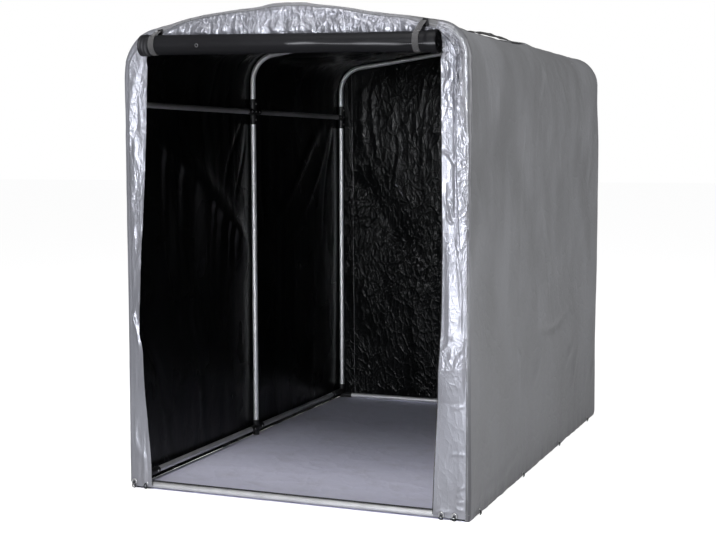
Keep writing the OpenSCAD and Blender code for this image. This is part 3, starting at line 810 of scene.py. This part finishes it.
def frontPanel():
    # One U-shaped strip round the doorway: up the left flap, round the eave, along the valance and down the right flap.
    # Each cross line runs from the doorway's edge to a line just inside the cover's corner; creases push it forward.
    look = frontLook
    inset = shell["corner"] + look["gap"]
    r, edge = eaveRadius - inset, halfWidth - inset
    zLeg = openSpan(hemZ + look["gap"], eaveZ, look["legSteps"])
    kernel = np.hanning(19) / np.hanning(19).sum()
    ease = lambda line: np.convolve(np.pad(np.interp(zLeg, *np.array(line).T), 9, mode="edge"), kernel, "valid")
    leftIn, rightIn = ease(look["leftIn"]), ease(look["rightIn"])
    a, grow = openSpan(0, math.pi / 2 - pitch, look["eaveSteps"]), openSpan(0, 1, look["eaveSteps"])

    def eaveArc(sign, radius):
        return np.stack([sign * (eaveX + radius * np.cos(a)), eaveZ + radius * np.sin(a)], -1)

    def innerArc(sign, legEnd):
        first = abs(legEnd) - eaveX
        return eaveArc(sign, first + (look["head"] - eaveZ - first) * smooth(0, 1, grow))

    def outerArc(sign):
        stand = bulge(0 * a + sign, 0 * a - halfDepth, eaveZ + r * np.sin(a))
        return eaveArc(sign, r + stand + look["leftOut"] * (sign < 0) * (1 - grow))

    line = lambda x, z: np.stack([x, z + 0 * x], -1)
    span = eaveX + r * math.sin(pitch)
    xHead = np.linspace(-span, span, look["headSteps"])
    topHead = roofHeight(xHead, endInset(xHead, look["gap"])) + bulge(xHead, -halfDepth, 1.95)
    leftOut = -edge - look["leftOut"] - bulge(-1, -halfDepth, zLeg)
    rightOut = edge + 1.24 * tighter(1, zLeg)
    inner = np.concatenate([line(leftIn, zLeg), innerArc(-1, leftIn[-1]), line(xHead * 0.985, look["head"]),
                            innerArc(1, rightIn[-1])[::-1], line(rightIn, zLeg)[::-1]])
    outer = np.concatenate([line(leftOut, zLeg), outerArc(-1), line(xHead, topHead), outerArc(1)[::-1],
                            line(rightOut, zLeg)[::-1]])
    t = np.linspace(0, 1, look["across"])
    flat = inner[:, None] + (outer - inner)[:, None] * t[:, None]
    px, pz = flat[..., 0], flat[..., 1]
    outward = t + 0 * px
    run, wide = runLength(inner)[:, None], np.linalg.norm(outer - inner, axis=1)[:, None]

    leftSide, rightSide = px < -0.57, px > 0.57
    head = smooth(1.80, 1.86, pz)
    legs = 1 - head
    gather = smooth(1.30, 1.75, pz)
    knee = hump(pz, 0.61, 0.09) + hump(pz, 1.03, 0.07)
    # Right flap: a convex panel with sharp creases at the top, at two crushed places and along the foot.
    right = 0.0015 * smooth(0.55, 0.8, pz) * (1 - gather) * 4 * outward * (1 - outward)
    right = right + 0.0022 * knee * (0.5 + crumple(px * 30, pz * 22, 51))
    right = right + 0.0018 * gather * (0.5 + crumple(px * 38, pz * 17, 52))
    right = right + 0.0012 * (0.5 + crumple(px * 12, pz * 7, 53))
    # The free edge stands out and the panel slopes back to the pleat.
    lean = smooth(1.05, 1.30, pz) * fade(1.76, 1.82, pz)
    right = right + look["lean"] * lean * np.clip((0.689 - px) / 0.048, 0, 1)
    bag = np.clip(1 - np.abs(pz - 0.588) / np.where(pz > 0.588, 0.15, 0.13), 0, 1)        # it sags over a fold
    right = right + look["bag"] * bag * smooth(0.585, 0.64, px) * (1 - 0.62 * np.clip((px - 0.64) / 0.10, 0, 1))
    off, reach = px - 0.667, 0.015 + 0.092 * np.clip(1.12 - pz, 0, 0.40)  # a long fold, its right side facing the light
    long = np.where(off > 0, np.clip(1 - off / reach, 0, 1), np.clip(1 + off / 0.020, 0, 1)) * 0.15 * reach
    long = long + 0.0035 * np.clip((off - reach) / 0.016, 0, 1)
    right = right + long * smooth(0.66, 0.74, pz) * fade(1.10, 1.16, pz) + foldSum(px, pz, rightCreases)
    right = right * (1 - smooth(0.95, 1.20, pz) * smooth(0.680, 0.690, px))   # flat where the pleat lies over it
    # Left flap: long slanting folds in the upper half, one bright fold, quiet below.
    upper = smooth(0.75, 1.05, pz)
    slant = 0.0019 * noise((px - 0.19 * pz) * 48, pz * 9, 61) + 0.0010 * crumple(px * 26, pz * 14, 62)
    left = upper * (0.0016 + slant + 0.007 * outward * smooth(1.05, 1.35, pz))
    left = left + 0.0030 * (0.5 + crumple(px * 24, pz * 5, 63))
    left = left + (0.006 + 0.007 * hump(pz, 0.92, 0.16)) * fade(1.05, 1.3, pz) * (1 - outward)
    left = left + foldSum(px, pz, leftCreases)
    # Valance: it swells over the roll in upright gathers, with slanting crinkles above.
    above = pz - rollAxis(px) - 0.052
    over = hump(above, 0, np.where(above > 0, 0.034, 0.018))
    upright = noise(px * 40 + 0.9 * noise(px * 14, pz * 14, 71), pz * 7, 72)
    pleat = 1.3 * (0.5 - np.abs(upright)) + 0.35 * noise(px * 60, pz * 14, 73)
    crinkled = (0.4 + crumple(px * 21 + pz * 9, pz * 24, 74)) * (0.35 + 0.65 * smooth(-0.3, 0.5, px + 0.2))
    brow = head * (0.002 + over * (0.007 + 0.0070 * pleat) + 0.0048 * crinkled)
    push = legs * (leftSide * left + rightSide * right) + np.maximum(brow, 0.0)
    # The free edge wanders, but not back into the legs.
    sway = legs * (1 - outward) ** 2 * look["sway"] * noise(pz * 2.2, np.where(px < 0, 1.0, 5.0), 75)
    legRoom = smooth(0.0, 0.012, np.abs(np.abs(px) - legX) - 0.016)
    sway = np.where(sway > 0, sway, sway * legRoom)
    held = smooth(0.0, 0.014, (1 - outward) * wide)                       # sewn along the outer edge
    rollBack = np.sqrt(np.maximum((rollLook["radius"] * 1.03) ** 2 - (pz - rollAxis(px)) ** 2, 0))
    limit = np.where(np.abs(px) < 0.655, np.maximum(-halfDepth - rollLook["y"] - rollBack - 0.0015, 0.0004), 0.05)
    # The left flap lies over the cover's edge, the rest behind it.
    laid = look["behind"] - look["over"] * leftSide * legs
    grid = np.stack([px, -halfDepth + laid - np.minimum(np.maximum(push * held + sway, -0.012), limit), pz], -1)
    amount = 0.15 + 0.15 * smooth(0.45, 0.65, pz) + 0.35 * gather * legs + 0.45 * head
    amount = amount + 0.35 * knee * rightSide + 0.12 * upper * leftSide
    # Painted shade: darker under the right eave, low on the right flap, in patches on the valance and beside the pleat
    # where its fold shades the flap.
    shade = 0.55 * hump(px, 0.655, 0.016) * smooth(1.775, 1.80, pz) * fade(1.85, 1.87, pz)
    shade = shade + 0.10 * rightSide * fade(0.35, 0.60, pz)
    shade = shade + head * (np.abs(px) < 0.62) * (0.16 + 0.30 * smooth(-0.3, 0.6, noise(px * 13, pz * 18, 76)))
    beside = smooth(0.6835, 0.6855, px + 0.007 * hump(pz, 1.63, 0.035))
    shade = shade + 0.62 * smooth(1.0, 1.15, pz) * fade(1.775, 1.80, pz) * beside
    values = dict(crinkle=amount, shade=shade, seamOff=outward * wide - look["seam"], seamAlong=run + 0 * px)
    return grid, values, np.stack([run + 0 * px, outward * wide], -1)


frontGrid, values, uv = frontPanel()
front = sheetPiece("frontPanel", frontGrid, shell["endThick"], [silver, lining], values, uv)
finishedAs(front, "silver_cover", "front_left_flap", "front_right_flap", "front_valance")
print("front panel", frontGrid.shape)

rearLook = dict(across=178, up=214, gap=0.002, lift=0.004, behind=0.0012, fold=0.0022, crush=0.0029)
# Folds seen from inside, in x and z and in millimetres; height is inwards.
rearFolds = [
    (-680, 1270, -330, 930, 75, -24), (-517, 1155, -352, 952, 14, 4), (-530, 1826, -530, 1395, 13, 4.2),
    (-553, 1367, -537, 1287, 10, 3.4), (-517, 1355, -502, 1201, 9, 3), (-397, 1519, -396, 1259, 10, 3.4),
    (-242, 1903, -241, 1653, 10, 3.4), (-233, 1686, -211, 1124, 9, 2.2), (-672, 1200, -661, 1067, 10, 3.6),
    (-612, 1794, -598, 1527, 20, 4.5), (-414, 1253, -352, 1168, 7, 2.6), (-347, 1609, -316, 1412, 10, 2.5),
    (150, 1700, -50, 1000, 20, 5), (450, 1600, 300, 800, 20, 5), (50, 750, 450, 350, 30, 8),
    (-524, 1075, -518, 925, 12, 4.2), (-371, 980, -368, 923, 10, 3.4), (-680, 1842, -685, 1387, 10, -6)
]


def rearWall():
    # The end's outline filled by columns of points, each as high as the outline there; folds move it along y.
    look = rearLook
    x = np.linspace(-1, 1, look["across"])[:, None] * (halfWidth - shell["corner"] - look["gap"])
    v, low = np.linspace(0, 1, look["up"]), hemZ + look["lift"]
    top = roofHeight(x, endInset(x, look["gap"]))
    px, pz = x + 0 * v, low + (top - low) * v
    sew = smooth(0.0, 0.06, halfWidth - np.abs(px)) * smooth(0.0, 0.06, top - pz)
    room = smooth(0.022, 0.10, np.abs(np.abs(px) - legX)) * smooth(0.05, 0.12, top - pz) * smooth(0.03, 0.12, pz)
    fold = noise(px * 7 + 0.6 * noise(px * 2, pz * 1.5, 81), pz * 1.0, 82) + 0.5 * noise(px * 18, pz * 2.0, 83)
    move = look["fold"] * fold + look["crush"] * crumple(px * 11, pz * 6, 84) + foldSum(px, pz, rearFolds)
    move = move * sew * np.where(move > 0, room, 0.6)               # inwards only where no tube stands
    values = dict(crinkle=0.58 + 0.30 * noise(px * 3, pz * 2, 85), seamOff=px + 0.672 - 0.008 * (1.8 - pz),
                  seamAlong=pz)
    return np.stack([px, halfDepth - look["behind"] - move, pz], -1), values, np.stack([px, pz], -1)


grid, values, uv = rearWall()
rear = sheetPiece("rearWall", grid, shell["endThick"], [silver, rearLining], values, uv, outside=-1)
finishedAs(rear, "silver_cover", "rear_wall")
print("rear wall", grid.shape)

floorLook = dict(steps=(46, 184), ripple=0.0014, hem=0.02, tape=(-1.112, -1.070), thick=0.0012)


def floorSheet():
    # A flat sheet with low ripples that die out under the frame; a dark tape is sewn on behind the sill, its dark also
    # painted shade for the shadow line between sill and floor sheet.
    look = floorLook
    low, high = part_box("floor_sheet")
    x, y = np.linspace(low.x, high.x, look["steps"][0]), np.linspace(low.y, high.y, look["steps"][1])
    px, py = np.meshgrid(x, y, indexing="ij")
    inner = smooth(0.03, 0.12, high.x - np.abs(px)) * smooth(0.05, 0.16, high.y - np.abs(py))
    rise = 0.6 + crumple(px * 2.2, py * 1.6, 91) + 0.5 * noise(px * 3, py * 2, 92)
    grid = np.stack([px, py, high.z - 0.0002 + inner * look["ripple"] * rise], -1)
    hem = np.minimum(high.x - np.abs(px), high.y - np.abs(py)) - look["hem"]
    tape = np.where((py > look["tape"][0]) & (py < look["tape"][1]), 2, 0)
    return grid, dict(crinkle=0.2 + 0 * px, seamOff=hem, seamAlong=px + py), np.stack([px, py], -1), tape[:-1, :-1]


grid, values, uv, tape = floorSheet()
floorCloth = sheetPiece("floorSheet", grid, floorLook["thick"], [groundCloth, groundCloth, zipTape], values, uv,
                        marked=tape)
finishedAs(floorCloth, "floor_fabric", "floor_sheet")
print("floor sheet", grid.shape)

strapLook = dict(width=0.025, thick=0.0015, clear=0.0008, loopAngles=(108, 336), lean=dict(left=-0.004, right=0.010),
                 tailX=0.6456, tailFrom=-0.82, tailTo=-0.10, tailRise=0.010, tailTwist=0.009, tailLift=0.0022,
                 tabDrop=(0.004, 0.036), tabShift=dict(left=0.002, right=0.016))


def bandPiece(name, grid, material):
    across = np.linalg.norm(grid - grid[:, :1], axis=-1)
    uv = np.stack([runLength(grid[:, 0])[:, None] + 0 * across, across], -1)
    return finishedAs(sheetPiece(name, grid, strapLook["thick"], [material, material], None, uv), "webbing")


def doorStrap(side):
    # Loop: from the gable's edge over the roll's top, round its front and under, and up behind it.
    look, x = strapLook, rollLook[side]
    zc, d, sign = float(rollAxis(x)), halfDepth, np.sign(x)
    a = np.linspace(*np.radians(look["loopAngles"]), 64)
    r = rollLook["radius"] * rollSqueeze(a, x + 0 * a) + look["clear"] + look["thick"]
    ring = np.stack([rollLook["y"] + r * np.cos(a), zc + r * np.sin(a)], -1)
    t = openSpan(0, 1, 16)[:, None]
    first = np.array([-d - 0.0062, float(roofHeight(x + 0.008)) - 0.010])
    down = first + (ring[0] - first) * t + np.array([0, 0.0015]) * np.sin(np.pi * t)
    last = np.array([-d - 0.0012, zc - 0.002])
    up = ring[-1] + (last - ring[-1]) * np.linspace(0, 1, 6)[1:, None]
    path = np.concatenate([down, ring, up])[:, None]
    w = np.linspace(-0.5, 0.5, 6) * look["width"]
    lean = np.concatenate([look["lean"][side] * (1 - t) ** 1.3, np.zeros((len(a) + len(up), 1))])
    loop = np.stack([x + w + lean, path[..., 0] + 0 * w, path[..., 1] + 0 * w], -1)
    strap = bandPiece(side + "DoorStrap", loop, greyWebbing)
    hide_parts(side + "_door_strap")

    # Tail: from the gable's edge over the roof to the eave, where it bows up between two sewn places.
    xs, runs, _ = coverLines
    onRoof = np.abs(runs) < 0.80
    toRun = lambda v: np.interp(v, xs[onRoof], runs[onRoof])
    s = np.linspace(0, 1, 60)
    bow = np.concatenate([np.zeros(30), 4 * s * (1 - s), np.zeros(8)])[:, None]
    start, stop = look["tailFrom"], look["tailTo"]
    y = np.concatenate([openSpan(-d + 0.05, start, 30), start + (stop - start) * s,
                        stop + np.linspace(0.004, 0.05, 8)])[:, None]
    near, far = toRun(x + 0.014), toRun(sign * look["tailX"])
    centre = near + (far - near) * smooth(-d + 0.06, start - 0.06, y)
    lift = look["tailLift"] + look["tailRise"] * bow ** 1.1 - look["tailTwist"] * bow * sign * w / look["width"]
    tail = bandPiece(side + "RoofStrap", onCover(centre + w, y + 0 * w, lift)[:, ::-1], blackWebbing)

    # Black tab sewn under the gable's edge, that the strap hangs from.
    drop = np.linspace(*look["tabDrop"], 9)[:, None]
    px = x + look["tabShift"][side] + w * 0.9 + 0 * drop
    grid = np.stack([px, -d - 0.0068 - 0.0015 * np.sin(np.pi * drop / 0.04) + 0 * px, roofHeight(px) - drop], -1)
    return strap, tail, bandPiece(side + "StrapTab", grid[:, ::-1], blackWebbing)


strapPieces = doorStrap("left") + doorStrap("right")
print("straps", len(strapPieces))

screwLook = dict(head=0.0048, rise=0.0026, tail=-0.0015, fromCentre=0.040, ridgeFromCentre=0.042,
                 cornerReach=0.140, skin=0.01535)


def screwHead(centre, axis):
    # A pan head with a turned recess: a profile carried round the axis.
    h, r, tail = screwLook["rise"], screwLook["head"], screwLook["tail"]
    profile = [(0.00001, tail), (r * 0.96, tail), (r, 0.0), (r * 0.95, h * 0.45), (r * 0.72, h * 0.92),
               (r * 0.40, h * 1.0), (r * 0.34, h * 0.45), (0.00001, h * 0.45)]
    return lathe(profile, centre, axis, 18), False, True


def jointScrews():
    # On the inner faces of the side joints and feet, and under the ridge joints.
    parts = []
    reach, skin = screwLook["fromCentre"], screwLook["skin"]
    for s in (-1, 1):
        feet = (screwLook["cornerReach"], reach, screwLook["cornerReach"])
        for y, arms, foot in zip(hoopY, ([1], [1, -1], [-1]), feet):
            spots = [(y, railZ)] + [(y + k * reach, railZ) for k in arms] + [(y, railZ + k * reach) for k in (1, -1)]
            spots += [(y + k * foot, baseZ) for k in arms]
            parts += [screwHead((s * (legX - skin), *spot), (-s, 0, 0)) for spot in spots]
    c, n = math.cos(pitch), math.sin(pitch)
    for y in hoopY:
        for s in (-1, 1):
            face = np.array([-s * n, 0, -c])
            down = np.array([s * c, 0, -n]) * screwLook["ridgeFromCentre"]
            parts.append(screwHead(np.array([0, y, boxMiddle("ridge_rails", 2)]) + down + face * skin, face))
    return finishedAs(makePiece("jointScrews", *joinGrids(parts), [platedMetal]), "bright_metal")


jointScrews()

tieLook = dict(eyelet=0.0062, frontSize=1.5, wire=0.0018, cord=0.0020, loop=0.010, height=0.021,
               sideY=(-1.033, -0.376, 0.295, 0.929), rearX=(-0.55, -0.18, 0.18, 0.55),
               front=((-0.738, 0.029), (-0.682, 0.026), (0.639, 0.021), (0.692, 0.021)),
               door=(-0.366, rollLook["y"] - 0.0406, 1.8505))


def eyeletRing(centre, axis, size=1.0):
    # A rolled rim: a round section carried round the axis.
    a = openSpan(0, 2 * np.pi, 10)
    r, w = size * tieLook["eyelet"], size * tieLook["wire"]
    return lathe(np.stack([r + w * np.cos(a), w * 0.75 * np.sin(a)], -1)[::-1], centre, axis, 22), True, True


def tieLoop(centre, out, along):
    # A short loop of elastic: out of the eyelet, down to the ground in a drop shape and back.
    out, along = np.asarray(out, float), np.asarray(along, float)
    t = np.linspace(0, 2 * np.pi, 36)[:, None]
    wide = tieLook["loop"] * np.sin(t) * np.sin(t / 2) ** 1.2
    drop = (1 - np.cos(t)) / 2
    stand = 0.0020 + 0.0030 * np.sin(np.pi * drop) + 0.0010 * drop
    path = np.array(centre) + wide * along + stand * out - drop * (centre[2] - 0.003) * np.array([0, 0, 1.0])
    return sweep(path, tieLook["cord"], 8, along + 0.3 * out), False, True


def hemTies():
    look, d, w = tieLook, halfDepth, halfWidth + coverLook["splay"]
    spots = [((s * (w + 0.003), y, look["height"]), (s, 0, 0), (0, 1, 0)) for s in (-1, 1) for y in look["sideY"]]
    spots += [((x, -d - 0.004, z), (0, -1, 0), (1, 0, 0)) for x, z in look["front"]]
    spots += [((x, d + 0.002, look["height"]), (0, 1, 0), (1, 0, 0)) for x in look["rearX"]]
    rings = [eyeletRing(centre, out, look["frontSize"] if out[1] < 0 else 1.0) for centre, out, along in spots]
    finishedAs(makePiece("hemEyelets", *joinGrids(rings), [platedMetal]), "bright_metal")
    finishedAs(makePiece("hemTies", *joinGrids([tieLoop(*spot) for spot in spots]), [elasticCord]), "elastic")
    ring = joinGrids([eyeletRing(look["door"], (0, -1, -0.17))])
    finishedAs(makePiece("doorEyelet", *ring, [dullMetal]), "bright_metal")


hemTies()
print("screws, eyelets and ties")

zipLook = dict(width=0.018, leftShow=-0.003, rightShow=0.004, thick=0.0009, behind=0.0022,
               sillX=(-0.66, 0.62), sillRise=(-0.0006, 0.0065), sillWave=0.0015)


def flapTape(side, rows, sign):
    # A tape along a flap's free edge, sewn behind it: it follows the flap's own surface, past the edge on the right.
    show, last = zipLook[side + "Show"], rows.shape[1] - 1
    w = np.linspace(show - zipLook["width"], show, 7)
    share = np.clip(-w / np.abs(rows[:, -1:, 0] - rows[:, :1, 0]), 0, 1) * last
    i = np.minimum(share.astype(int), last - 1)
    pick = lambda k: np.take_along_axis(rows[..., 1], k, 1)
    py = pick(i) * (1 - share + i) + pick(i + 1) * (share - i) + zipLook["behind"]
    px = rows[:, :1, 0] + sign * w
    pz = rows[:, :1, 2] + 0 * px
    tape = sheetPiece(side + "ZipTape", np.stack([px, py, pz], -1), zipLook["thick"], [zipTape, zipTape], None,
                      np.stack([pz, px], -1), outside=-sign)
    return finishedAs(tape, "black_lining")


def sillTape():
    # A zip half standing along the top of the front sill, a little wavy; its dark tape also stands in for the shadow
    # line between the sill and the floor sheet (painted shade).
    top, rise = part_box("front_sill")[1].z, zipLook["sillRise"]
    px, h = np.meshgrid(np.linspace(*zipLook["sillX"], 160), np.linspace(*rise, 4), indexing="ij")
    py = boxMiddle("front_sill", 1) + zipLook["sillWave"] * noise(px * 9, 0 * px, 111) * h / rise[1]
    grid = np.stack([px, py, top + h], -1)
    tape = sheetPiece("sillZipTape", grid, zipLook["thick"], [zipTape, zipTape], None, np.stack([px, h], -1))
    return finishedAs(tape, "black_lining")


legs = frontLook["legSteps"]
tapes = [flapTape("left", frontGrid[2:legs], 1), flapTape("right", frontGrid[:-legs - 1:-1][2:], -1)]
sillTape()
print("zip tapes")

stageLook = dict(floor=(0.90, 0.90, 0.91, 1), floorPale=(0.92, 0.92, 0.93, 1), floorGlow=0.84,
                 floorSize=60, floorZ=-0.0008,
                 ambient=0.15, backdrop=1.0)
# Area lights: power, place, the point it faces, size, beam angle and colour.
lights = dict(key=(58, (0.1, -13.0, 2.0), (0.1, 0, 1.9), 2.0, 40, (0.94, 0.96, 1.0)),
              top=(150, (0.2, -3.4, 5.6), (0, -1.2, 0.0), 2.0, 180, (1, 1, 1)),
              fill=(205, (7.5, -0.3, 3.2), (0.7, 0, 0.9), 5.0, 180, (1, 0.99, 0.98)))


def makeStage():
    m, t, s = newMaterial("studioFloor", **{"Roughness": 1.0, "Specular IOR Level": 0.0,
                                            "Emission Color": (1, 1, 1, 1)})
    colour = mixColour(t, cloudy(t, objectSpot(t), 0.6), stageLook["floor"], stageLook["floorPale"])
    t.links.new(colour, s["Base Color"])
    seen = add(t, "ShaderNodeLightPath").outputs["Is Camera Ray"]
    t.links.new(maths(t, "MULTIPLY", seen, stageLook["floorGlow"]), s["Emission Strength"])
    mesh = bpy.data.meshes.new("studioFloor")
    reach, z = stageLook["floorSize"], stageLook["floorZ"]
    mesh.from_pydata([(x * reach, y * reach, z) for x, y in ((-1, -1), (1, -1), (1, 1), (-1, 1))], [], [(0, 1, 2, 3)])
    mesh.materials.append(m)
    floor = bpy.data.objects.new("studioFloor", mesh)
    bpy.context.scene.collection.objects.link(floor)
    for name, (power, at, aim, size, beam, colour) in lights.items():
        light = bpy.data.lights.new(name + "Light", "AREA")
        light.energy, light.size, light.spread, light.color = power, size, math.radians(beam), colour
        ahead = unit(np.array(aim, float) - np.array(at, float))
        right = unit(np.cross(ahead, (0, 0, 1.0)))
        putAt(light, at, right, np.cross(right, ahead), ahead)
    world = bpy.data.worlds.new("studio")
    bpy.context.scene.world = world
    world.use_nodes = True
    t = world.node_tree
    t.nodes.clear()
    dim, pale = (add(t, "ShaderNodeBackground", {0: (1, 1, 1, 1), 1: stageLook[k]}).outputs[0]
                 for k in ("ambient", "backdrop"))
    seen = add(t, "ShaderNodeLightPath").outputs["Is Camera Ray"]
    mix = add(t, "ShaderNodeMixShader", {0: seen, 1: dim, 2: pale})
    t.links.new(mix.outputs[0], add(t, "ShaderNodeOutputWorld").inputs[0])
    bpy.context.scene.view_settings.view_transform = "Standard"


makeStage()
print("stage set")
